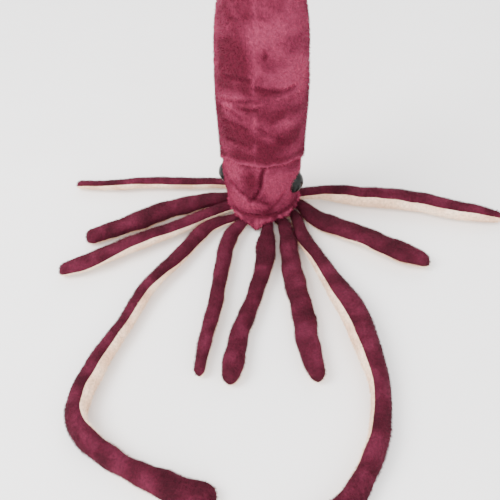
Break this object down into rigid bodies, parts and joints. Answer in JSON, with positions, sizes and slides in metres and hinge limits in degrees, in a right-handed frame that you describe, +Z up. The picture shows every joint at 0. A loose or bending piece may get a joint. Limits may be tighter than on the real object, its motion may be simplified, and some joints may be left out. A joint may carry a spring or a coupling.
{
  "type": "plush squid toy",
  "caption": "Stuffed plush giant squid that sits upright on its head rim, with a long mantle, side fins, glossy eyes and long limbs spread on the table.",
  "frame": {"origin": "middle of the mouth disc's underside, on the surface the toy stands on", "axes": "+Z up, -Y towards the dorsal side and the spread limbs, +X to the right of someone who looks at the dorsal side"},
  "size_m": [0.4449, 0.3999, 0.3323],
  "materials": {
    "maroon_plush": "matte",
    "maroon_plush_limb": "matte",
    "cream_plush": "matte",
    "polyester_filling": "matte",
    "eye_gloss": "gloss",
    "washer_nylon": "matte"
  },
  "bodies": {
    "head": {"head_dorsal_left": "maroon_plush", "head_dorsal_right": "maroon_plush", "head_belly": "cream_plush", "head_stuffing": "polyester_filling", "mouth_disc": "cream_plush", "arm_crown": "maroon_plush", "eye_left": "eye_gloss", "eye_right": "eye_gloss", "eye_washer_left": "washer_nylon", "eye_washer_right": "washer_nylon"},
    "mantle": {"mantle_dorsal_left": "maroon_plush", "mantle_dorsal_right": "maroon_plush", "mantle_belly": "cream_plush", "mantle_stuffing": "polyester_filling"},
    "fin_left": {"fin_left_front": "maroon_plush", "fin_left_back": "cream_plush"},
    "fin_right": {"fin_right_front": "maroon_plush", "fin_right_back": "cream_plush"},
    "arm_left_rear": {"arm_left_rear_top": "maroon_plush_limb", "arm_left_rear_under": "cream_plush", "arm_left_rear_stuffing": "polyester_filling"},
    "arm_left_outer": {"arm_left_outer_top": "maroon_plush_limb", "arm_left_outer_under": "cream_plush", "arm_left_outer_stuffing": "polyester_filling"},
    "arm_left_middle": {"arm_left_middle_top": "maroon_plush_limb", "arm_left_middle_under": "cream_plush", "arm_left_middle_stuffing": "polyester_filling"},
    "arm_left_front": {"arm_left_front_top": "maroon_plush_limb", "arm_left_front_under": "cream_plush", "arm_left_front_stuffing": "polyester_filling"},
    "arm_right_front": {"arm_right_front_top": "maroon_plush_limb", "arm_right_front_under": "cream_plush", "arm_right_front_stuffing": "polyester_filling"},
    "arm_right_middle": {"arm_right_middle_top": "maroon_plush_limb", "arm_right_middle_under": "cream_plush", "arm_right_middle_stuffing": "polyester_filling"},
    "arm_right_outer": {"arm_right_outer_top": "maroon_plush_limb", "arm_right_outer_under": "cream_plush", "arm_right_outer_stuffing": "polyester_filling"},
    "arm_right_rear": {"arm_right_rear_top": "maroon_plush_limb", "arm_right_rear_under": "cream_plush", "arm_right_rear_stuffing": "polyester_filling"},
    "tentacle_left_stalk": {"tentacle_left_stalk_top": "maroon_plush_limb", "tentacle_left_stalk_under": "cream_plush", "tentacle_left_stalk_stuffing": "polyester_filling"},
    "tentacle_left_elbow": {"tentacle_left_elbow_top": "maroon_plush_limb", "tentacle_left_elbow_under": "cream_plush", "tentacle_left_elbow_stuffing": "polyester_filling"},
    "tentacle_left_club": {"tentacle_left_club_top": "maroon_plush_limb", "tentacle_left_club_under": "cream_plush", "tentacle_left_club_stuffing": "polyester_filling"},
    "tentacle_right_stalk": {"tentacle_right_stalk_top": "maroon_plush_limb", "tentacle_right_stalk_under": "cream_plush", "tentacle_right_stalk_stuffing": "polyester_filling"},
    "tentacle_right_elbow": {"tentacle_right_elbow_top": "maroon_plush_limb", "tentacle_right_elbow_under": "cream_plush", "tentacle_right_elbow_stuffing": "polyester_filling"},
    "tentacle_right_club": {"tentacle_right_club_top": "maroon_plush_limb", "tentacle_right_club_under": "cream_plush", "tentacle_right_club_stuffing": "polyester_filling"}
  },
  "joints": [
    {"name": "neck_nod", "type": "hinge", "parent": "head", "child": "mantle", "pos_m": [0, 0, 0.038], "axis": [1, 0, 0], "range_deg": [-20, 20], "stiffness_Nm_per_rad": 0.6},
    {"name": "fin_left_flap", "type": "hinge", "parent": "mantle", "child": "fin_left", "pos_m": [-0.02102, 0, 0.244], "axis": [0.3313, 0, 0.9435], "range_deg": [-45, 45], "stiffness_Nm_per_rad": 0.004},
    {"name": "fin_right_flap", "type": "hinge", "parent": "mantle", "child": "fin_right", "pos_m": [0.04948, 0, 0.23907], "axis": [-0.1967, 0, 0.9805], "range_deg": [-45, 45], "stiffness_Nm_per_rad": 0.004},
    {"name": "arm_left_rear_lift", "type": "hinge", "parent": "head", "child": "arm_left_rear", "pos_m": [-0.02729, 0.02729, 0.006], "axis": [-0.069, 0.9976, 0], "range_deg": [-80, 60]},
    {"name": "arm_left_outer_lift", "type": "hinge", "parent": "head", "child": "arm_left_outer", "pos_m": [-0.03789, 0.00737, 0.006], "axis": [-0.4576, 0.8891, 0], "range_deg": [-80, 60]},
    {"name": "arm_left_middle_lift", "type": "hinge", "parent": "head", "child": "arm_left_middle", "pos_m": [-0.03789, -0.00737, 0.006], "axis": [-0.5935, 0.8048, 0], "range_deg": [-80, 60]},
    {"name": "arm_left_front_lift", "type": "hinge", "parent": "head", "child": "arm_left_front", "pos_m": [-0.02046, -0.03274, 0.006], "axis": [-1, 0.0093, 0], "range_deg": [-80, 60]},
    {"name": "arm_right_front_lift", "type": "hinge", "parent": "head", "child": "arm_right_front", "pos_m": [0.00999, -0.03728, 0.006], "axis": [-0.9993, 0.0363, 0], "range_deg": [-80, 60]},
    {"name": "arm_right_middle_lift", "type": "hinge", "parent": "head", "child": "arm_right_middle", "pos_m": [0.02583, -0.02868, 0.006], "axis": [-0.9593, -0.2823, 0], "range_deg": [-80, 60]},
    {"name": "arm_right_outer_lift", "type": "hinge", "parent": "head", "child": "arm_right_outer", "pos_m": [0.03855, 0.00202, 0.006], "axis": [-0.4644, -0.8856, 0], "range_deg": [-80, 60]},
    {"name": "arm_right_rear_lift", "type": "hinge", "parent": "head", "child": "arm_right_rear", "pos_m": [0.03376, 0.01871, 0.006], "axis": [-0.0866, -0.9962, 0], "range_deg": [-80, 60]},
    {"name": "tentacle_left_stalk_lift", "type": "hinge", "parent": "head", "child": "tentacle_left_stalk", "pos_m": [-0.02922, -0.02366, 0.005], "axis": [-0.9071, 0.4209, 0], "range_deg": [-80, 60]},
    {"name": "tentacle_left_elbow_swing", "type": "hinge", "parent": "tentacle_left_stalk", "child": "tentacle_left_elbow", "pos_m": [-0.105, -0.187, 0.005], "axis": [0, 0, 1], "range_deg": [-40, 25]},
    {"name": "tentacle_left_club_lift", "type": "hinge", "parent": "tentacle_left_elbow", "child": "tentacle_left_club", "pos_m": [-0.072, -0.283, 0.005], "axis": [-0.3473, -0.9377, 0], "range_deg": [-30, 30]},
    {"name": "tentacle_right_stalk_lift", "type": "hinge", "parent": "head", "child": "tentacle_right_stalk", "pos_m": [0.0351, -0.01348, 0.005], "axis": [-0.8864, -0.463, 0], "range_deg": [-80, 60]},
    {"name": "tentacle_right_elbow_swing", "type": "hinge", "parent": "tentacle_right_stalk", "child": "tentacle_right_elbow", "pos_m": [0.12, -0.176, 0.005], "axis": [0, 0, 1], "range_deg": [-14, 35]},
    {"name": "tentacle_right_club_lift", "type": "hinge", "parent": "tentacle_right_elbow", "child": "tentacle_right_club", "pos_m": [0.108, -0.282, 0.005], "axis": [-0.8706, 0.4921, 0], "range_deg": [-30, 30]}
  ]
}
